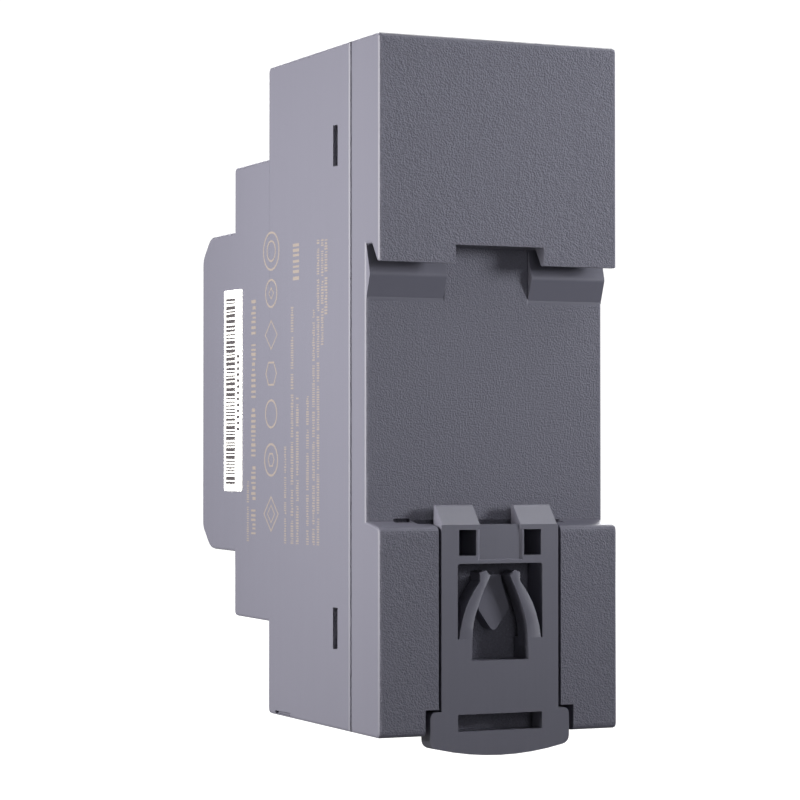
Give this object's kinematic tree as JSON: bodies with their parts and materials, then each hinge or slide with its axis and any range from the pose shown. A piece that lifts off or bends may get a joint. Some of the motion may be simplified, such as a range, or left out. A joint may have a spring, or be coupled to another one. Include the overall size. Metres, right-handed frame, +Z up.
{
  "type": "din rail power supply",
  "caption": "Slim stepped power supply for a 35 mm DIN rail, with a sprung rail latch at the rear and screw terminals at both ends.",
  "frame": {"origin": "on the face that seats on the rail, half way across the housing, on the rail's centre line", "axes": "+Y out of the rear towards the rail, +Z up along the housing, +X towards the side with the sticker"},
  "size_m": [0.0351, 0.0575, 0.0927],
  "materials": {
    "housing_plastic": "dark grey moulded plastic, fine spark-eroded grain on the rear",
    "latch_plastic": "dark grey moulded plastic, satin smooth",
    "terminal_plastic": "dark grey moulded terminal body",
    "plated_steel": "zinc plated steel",
    "tinned_copper": "dull tinned copper",
    "sticker_film": "white printed sticker",
    "clear_lens": "green translucent plastic",
    "circuit_board": "green solder resist on laminate",
    "ferrite": "dark sintered ferrite",
    "winding_tape": "yellow polyester tape",
    "enamelled_wire": "enamelled copper wire",
    "moulded_epoxy": "black moulded epoxy",
    "heatsink_aluminium": "plain extruded aluminium",
    "capacitor_sleeve": "dark shrunk sleeve",
    "film_capacitor_case": "yellow moulded case",
    "ceramic_disc": "blue dipped coating",
    "trimmer_case": "blue moulded case",
    "white_nylon": "white moulded nylon"
  },
  "bodies": {
    "housing": {"bridge_rectifier": "moulded_epoxy", "bulk_capacitor_1": "capacitor_sleeve", "bulk_capacitor_2": "capacitor_sleeve", "control_board": "circuit_board", "control_chip": "moulded_epoxy", "front_shell": "housing_plastic", "fuse": "moulded_epoxy", "input_1_bar": "tinned_copper", "input_2_bar": "tinned_copper", "input_terminal_body": "terminal_plastic", "inrush_limiter": "moulded_epoxy", "light_pipe": "clear_lens", "line_capacitor": "film_capacitor_case", "line_choke": "enamelled_wire", "main_board": "circuit_board", "optocoupler": "moulded_epoxy", "output_1_bar": "tinned_copper", "output_2_bar": "tinned_copper", "output_3_bar": "tinned_copper", "output_4_bar": "tinned_copper", "output_capacitor_1": "capacitor_sleeve", "output_capacitor_2": "capacitor_sleeve", "output_choke": "ferrite", "output_rectifier": "moulded_epoxy", "output_terminal_body": "terminal_plastic", "primary_switch": "moulded_epoxy", "rear_cover": "housing_plastic", "safety_capacitor": "ceramic_disc", "side_sticker": "sticker_film", "status_led": "clear_lens", "surge_varistor": "ceramic_disc", "switch_heatsink": "heatsink_aluminium", "transformer_bobbin_foot": "moulded_epoxy", "transformer_core_lower": "ferrite", "transformer_core_upper": "ferrite", "transformer_winding": "winding_tape", "trimmer_body": "trimmer_case"},
    "latch": {"rail_latch": "latch_plastic"},
    "spring_arm_left": {"latch_spring_arm_left": "latch_plastic"},
    "spring_arm_right": {"latch_spring_arm_right": "latch_plastic"},
    "trimmer": {"trimmer_rotor": "white_nylon"},
    "output_1_screw": {"output_1_screw": "plated_steel"},
    "output_1_cage": {"output_1_cage": "plated_steel"},
    "output_2_screw": {"output_2_screw": "plated_steel"},
    "output_2_cage": {"output_2_cage": "plated_steel"},
    "output_3_screw": {"output_3_screw": "plated_steel"},
    "output_3_cage": {"output_3_cage": "plated_steel"},
    "output_4_screw": {"output_4_screw": "plated_steel"},
    "output_4_cage": {"output_4_cage": "plated_steel"},
    "input_1_screw": {"input_1_screw": "plated_steel"},
    "input_1_cage": {"input_1_cage": "plated_steel"},
    "input_2_screw": {"input_2_screw": "plated_steel"},
    "input_2_cage": {"input_2_cage": "plated_steel"}
  },
  "joints": [
    {"name": "latch_release", "type": "slide", "parent": "housing", "child": "latch", "axis": [0, 0, -1], "range_m": [0, 0.0032], "stiffness_N_per_m": 3000, "springref_m": -0.0005},
    {"name": "spring_arm_left_bend", "type": "hinge", "parent": "latch", "child": "spring_arm_left", "pos_m": [0.00505, 0.0023, -0.033], "axis": [0, 1, 0], "range_deg": [0, 5.6]},
    {"name": "spring_arm_right_bend", "type": "hinge", "parent": "latch", "child": "spring_arm_right", "pos_m": [-0.00505, 0.0023, -0.033], "axis": [0, -1, 0], "range_deg": [0, 5.6]},
    {"name": "trimmer_turn", "type": "hinge", "parent": "housing", "child": "trimmer", "pos_m": [0.0102, -0.049, 0.0125], "axis": [0, 1, 0], "range_deg": [-135, 135]},
    {"name": "output_1_cage_lift", "type": "slide", "parent": "housing", "child": "output_1_cage", "axis": [0, -1, 0], "range_m": [0, 0.004]},
    {"name": "output_1_screw_turn", "type": "hinge", "parent": "housing", "child": "output_1_screw", "pos_m": [-0.01125, -0.024, 0.0374], "axis": [0, 1, 0], "range_deg": [0, 2881]},
    {"name": "output_2_cage_lift", "type": "slide", "parent": "housing", "child": "output_2_cage", "axis": [0, -1, 0], "range_m": [0, 0.004]},
    {"name": "output_2_screw_turn", "type": "hinge", "parent": "housing", "child": "output_2_screw", "pos_m": [-0.00375, -0.024, 0.0374], "axis": [0, 1, 0], "range_deg": [0, 2881]},
    {"name": "output_3_cage_lift", "type": "slide", "parent": "housing", "child": "output_3_cage", "axis": [0, -1, 0], "range_m": [0, 0.004]},
    {"name": "output_3_screw_turn", "type": "hinge", "parent": "housing", "child": "output_3_screw", "pos_m": [0.00375, -0.024, 0.0374], "axis": [0, 1, 0], "range_deg": [0, 2881]},
    {"name": "output_4_cage_lift", "type": "slide", "parent": "housing", "child": "output_4_cage", "axis": [0, -1, 0], "range_m": [0, 0.004]},
    {"name": "output_4_screw_turn", "type": "hinge", "parent": "housing", "child": "output_4_screw", "pos_m": [0.01125, -0.024, 0.0374], "axis": [0, 1, 0], "range_deg": [0, 2881]},
    {"name": "input_1_cage_lift", "type": "slide", "parent": "housing", "child": "input_1_cage", "axis": [0, -1, 0], "range_m": [0, 0.004]},
    {"name": "input_1_screw_turn", "type": "hinge", "parent": "housing", "child": "input_1_screw", "pos_m": [-0.0055, -0.024, -0.0386], "axis": [0, 1, 0], "range_deg": [0, 2881]},
    {"name": "input_2_cage_lift", "type": "slide", "parent": "housing", "child": "input_2_cage", "axis": [0, -1, 0], "range_m": [0, 0.004]},
    {"name": "input_2_screw_turn", "type": "hinge", "parent": "housing", "child": "input_2_screw", "pos_m": [0.0055, -0.024, -0.0386], "axis": [0, 1, 0], "range_deg": [0, 2881]}
  ],
  "couplings": [
    {"joint": "spring_arm_left_bend", "follows": "latch_release", "rad_per_m": 30},
    {"joint": "spring_arm_right_bend", "follows": "latch_release", "rad_per_m": 30},
    {"joint": "output_1_screw_turn", "follows": "output_1_cage_lift", "rad_per_m": 12566},
    {"joint": "output_2_screw_turn", "follows": "output_2_cage_lift", "rad_per_m": 12566},
    {"joint": "output_3_screw_turn", "follows": "output_3_cage_lift", "rad_per_m": 12566},
    {"joint": "output_4_screw_turn", "follows": "output_4_cage_lift", "rad_per_m": 12566},
    {"joint": "input_1_screw_turn", "follows": "input_1_cage_lift", "rad_per_m": 12566},
    {"joint": "input_2_screw_turn", "follows": "input_2_cage_lift", "rad_per_m": 12566}
  ]
}
